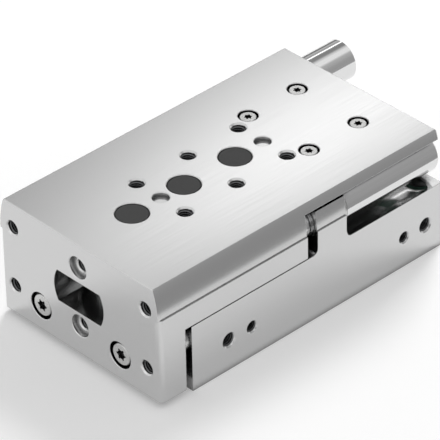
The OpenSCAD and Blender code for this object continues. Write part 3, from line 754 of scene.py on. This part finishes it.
@dataclass(frozen=True)
class Lamp:
    """A square soft lamp, in metres, that lights things and whose own shape metal doesn't show.

    Attributes:
        name: name of the lamp.
        place: middle of the lamp.
        target: point that it faces.
        side: side of the square.
        watts: power.
    """

    name: str
    place: tuple[float, float, float]
    target: tuple[float, float, float]
    side: float
    watts: float

    def build(self) -> bpy.types.Object:
        """Makes the lamp.

        Returns:
            The lamp.
        """
        data = bpy.data.lights.new(self.name, "AREA")
        data.shape, data.size, data.energy = "SQUARE", self.side, self.watts
        lamp = bpy.data.objects.new(self.name, data)
        bpy.context.scene.collection.objects.link(lamp)
        ahead = Vector(self.target) - Vector(self.place)
        turn = ahead.to_track_quat("-Z", "Y").to_matrix().to_4x4()
        lamp.matrix_world = Matrix.Translation(self.place) @ turn
        lamp.visible_camera = lamp.visible_glossy = False
        return lamp


def background_rays(tree: bpy.types.NodeTree) -> bpy.types.NodeSocket:
    """Adds a switch for the rays that show the background, straight, in metal or through glass.

    Args:
        tree: node tree of the floor or the world.

    Returns:
        1 for camera, glossy and transmission rays, 0 for the light that falls on things.
    """
    path = add_node(tree, "ShaderNodeLightPath")
    value = output_of(path, "Is Camera Ray")
    for kind in ("Is Glossy Ray", "Is Transmission Ray"):
        larger = add_node(tree, "ShaderNodeMath", {"operation": "MAXIMUM"}, {"Value": value})
        tree.links.new(output_of(path, kind), larger.inputs[1])
        value = larger.outputs[0]
    return value


@dataclass(frozen=True)
class View:
    """The camera, in metres, from its place and its two axes in the part's frame.

    Attributes:
        place: where it stands.
        ahead: direction in which it looks.
        right: direction of its right side, which is then made square to ahead.
        lens_mm: focal length.
        sensor_mm: width of the sensor.
        near: nearest distance that it shows.
        far: farthest distance that it shows.
    """

    place: tuple[float, float, float] = (0.69598, -0.65892, 0.68762)
    ahead: tuple[float, float, float] = (-0.59829, 0.56003, -0.57308)
    right: tuple[float, float, float] = (0.69161, 0.72208, -0.01640)
    lens_mm: float = 331.6
    sensor_mm: float = 36.0
    near: float = 0.05
    far: float = 50.0

    def build(self) -> bpy.types.Object:
        """Makes the camera and gives it to the scene.

        Returns:
            The camera.
        """
        ahead = Vector(self.ahead).normalized()
        right = Vector(self.right)
        right = (right - ahead * right.dot(ahead)).normalized()
        up = right.cross(ahead)
        data = bpy.data.cameras.new("camera")
        data.lens, data.sensor_width = self.lens_mm, self.sensor_mm
        data.clip_start, data.clip_end = self.near, self.far
        camera = bpy.data.objects.new("camera", data)
        bpy.context.scene.collection.objects.link(camera)
        turn = Matrix((right, up, -ahead)).transposed().to_4x4()
        camera.matrix_world = Matrix.Translation(Vector(self.place)) @ turn
        bpy.context.scene.camera = camera
        return camera


@dataclass
class Studio:
    """White floor, white surroundings, soft light and the camera.

    Attributes:
        floor_side: side of the square floor, in metres.
        floor_glow: level that the floor adds to background rays, under which its shadows stay.
        sky_top: light from overhead on things.
        sky_rim: light from the horizon on things.
        cards: the cards round the set.
        lamps: the soft lamps.
        view: the camera.
    """

    floor_side: float = 6.0
    floor_glow: float = 0.3
    sky_top: float = 0.55
    sky_rim: float = 0.35
    cards: list[Card] = field(default_factory=lambda: [
        # over the rear left: grey, with the long pale band that the top shows
        Card("key_card", (-0.361, 0.342, 0.376), (0.99, 0.13, 0.13), (0.14, 0.98, -0.13),
             width=0.80, height=0.92, base=0.45, glow=2.75,
             glow_across=BAND_ACROSS, glow_along=BAND_ALONG),
        # before the front: a little over white, which lifts the yoke plate's face
        Card("front_card", (-0.1, -0.9, 0.6), (1.0, 0.0, 0.0), (0.0, 0.55, 0.83),
             width=0.9, height=0.6, base=1.25),
        # grey screen beyond the right rear, up to about half way, which gives chrome its dark side
        Card("right_screen", (0.34, 0.25, 0.19), (-0.57, 0.82, 0.0), (-0.37, -0.26, 0.89),
             width=0.66, height=0.44, base=0.40, glow=0.20,
             glow_along=((0.0, 0.6), (0.3, 0.0), (0.7, 0.5), (1.0, 1.0)),
             cover_along=((0.0, 1.0), (0.8, 1.0), (0.92, 0.5), (1.0, 0.0))),
        # low grey flag on the right, which the slide's rounded edge shows along its length
        Card("right_flag", (0.077, 0.024, 0.0185), (0.0, 1.0, 0.0), (0.0, 0.0, 1.0),
             width=0.21, height=0.037, base=0.38, glow=0.12,
             glow_along=((0.0, 0.0), (0.75, 0.0), (1.0, 1.0)),
             cover_along=((0.0, 1.0), (0.85, 1.0), (1.0, 0.0))),
        # grey screen far off on the left, for the dark upper line on chrome
        Card("left_screen", (-0.86, 0.55, 0.16), (0.56, 0.83, 0.0), (0.0, 0.0, 1.0),
             width=1.0, height=0.40, base=0.24,
             cover_along=((0.0, 1.0), (0.7, 1.0), (0.85, 0.5), (1.0, 0.0))),
    ])
    lamps: list[Lamp] = field(default_factory=lambda: [
        # from the rear, so that the shadow falls forwards, where the front and side show it
        Lamp("rear_lamp", (-0.708, 1.448, 1.520), (0.0, 0.0, 0.02), side=0.8, watts=28.5),
    ])
    view: View = View()

    def floor(self) -> None:
        """Makes the white floor at the height that the housing stands on."""
        material = empty_material("white_floor")
        tree = material.node_tree
        matt = add_node(tree, "ShaderNodeBsdfDiffuse", inputs={"Color": linear("#E6E6E6")})
        level = add_node(tree, "ShaderNodeMath", {"operation": "MULTIPLY"}, {
            "Value": background_rays(tree)})
        level.inputs[1].default_value = self.floor_glow
        glow = add_node(tree, "ShaderNodeEmission", inputs={"Strength": level.outputs[0]})
        both = add_node(tree, "ShaderNodeAddShader")
        tree.links.new(matt.outputs[0], both.inputs[0])
        tree.links.new(glow.outputs[0], both.inputs[1])
        add_node(tree, "ShaderNodeOutputMaterial", inputs={"Surface": both.outputs[0]})
        h, z = self.floor_side / 2, float(CAD_BOX[0][2])
        corners = np.array([(-h, -h, z), (h, -h, z), (h, h, z), (-h, h, z)])
        new_piece("floor", corners, [[0, 1, 2, 3]], material)

    def sky(self) -> None:
        """Makes the world: white to background rays, and light that rises towards the zenith."""
        world = bpy.data.worlds.new("studio")
        bpy.context.scene.world = world
        world.use_nodes = True
        tree = world.node_tree
        tree.nodes.clear()
        place = add_node(tree, "ShaderNodeTexCoord")
        way = add_node(tree, "ShaderNodeSeparateXYZ", inputs={
            "Vector": output_of(place, "Generated")})
        rise = add_node(tree, "ShaderNodeMapRange", {"interpolation_type": "SMOOTHSTEP"}, {
            "Value": output_of(way, "Z"), "From Min": 0.0, "From Max": 0.9,
            "To Min": self.sky_rim, "To Max": self.sky_top})
        light = add_node(tree, "ShaderNodeBackground", inputs={
            "Strength": rise.outputs[0], "Color": WHITE})
        white = add_node(tree, "ShaderNodeBackground", inputs={"Strength": 1.0, "Color": WHITE})
        both = add_node(tree, "ShaderNodeMixShader", inputs={"Fac": background_rays(tree)})
        tree.links.new(light.outputs[0], both.inputs[1])
        tree.links.new(white.outputs[0], both.inputs[2])
        add_node(tree, "ShaderNodeOutputWorld", inputs={"Surface": both.outputs[0]})

    def build(self) -> None:
        """Makes the floor, the sky, the cards, the lamps and the camera."""
        self.floor()
        self.sky()
        for item in (*self.cards, *self.lamps, self.view):
            item.build()
        bpy.context.scene.view_settings.view_transform = "Standard"
        log.info("studio: %d cards, %d lamps", len(self.cards), len(self.lamps))


def main() -> None:
    """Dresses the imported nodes, adds the fine pieces, and sets up the studio."""
    logging.basicConfig(level=logging.INFO)
    workshop = Workshop()
    log.info("%d nodes dressed", workshop.dress_nodes())
    SlideTable().build(workshop)
    Housing().build(workshop)
    AbsorberSpring().build(workshop)
    Studio().build()


if __name__ == "__main__":
    main()
